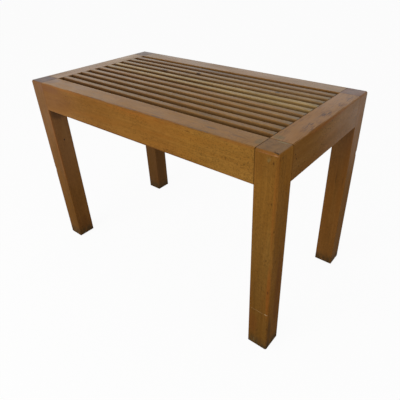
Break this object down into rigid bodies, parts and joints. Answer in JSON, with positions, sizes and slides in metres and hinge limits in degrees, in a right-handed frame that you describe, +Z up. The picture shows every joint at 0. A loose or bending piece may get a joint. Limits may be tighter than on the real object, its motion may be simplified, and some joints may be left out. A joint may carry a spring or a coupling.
{
  "type": "slatted wooden bench",
  "caption": "Small hardwood bench with a flat slatted seat in a frame of deep flush rails, on square straight legs.",
  "frame": {"origin": "on the floor, under the middle of the seat", "axes": "+X along the bench to the right as seen from the front, +Y from the front to the back, +Z up"},
  "size_m": [0.676, 0.364, 0.45],
  "materials": {
    "leg_wood": "worn satin varnish",
    "rail_wood": "worn satin varnish",
    "slat_wood": "worn satin varnish",
    "batten_wood": "planed, unfinished",
    "screw_metal": "dull"
  },
  "bodies": {
    "root": {"front_left_leg": "leg_wood", "front_right_leg": "leg_wood", "back_left_leg": "leg_wood", "back_right_leg": "leg_wood", "front_rail": "rail_wood", "back_rail": "rail_wood", "left_end_rail": "rail_wood", "right_end_rail": "rail_wood", "slat_01": "slat_wood", "slat_02": "slat_wood", "slat_03": "slat_wood", "slat_04": "slat_wood", "slat_05": "slat_wood", "slat_06": "slat_wood", "slat_07": "slat_wood", "slat_08": "slat_wood", "slat_09": "slat_wood", "slat_10": "slat_wood", "centre_batten": "batten_wood", "batten_screws": "screw_metal"}
  },
  "joints": []
}
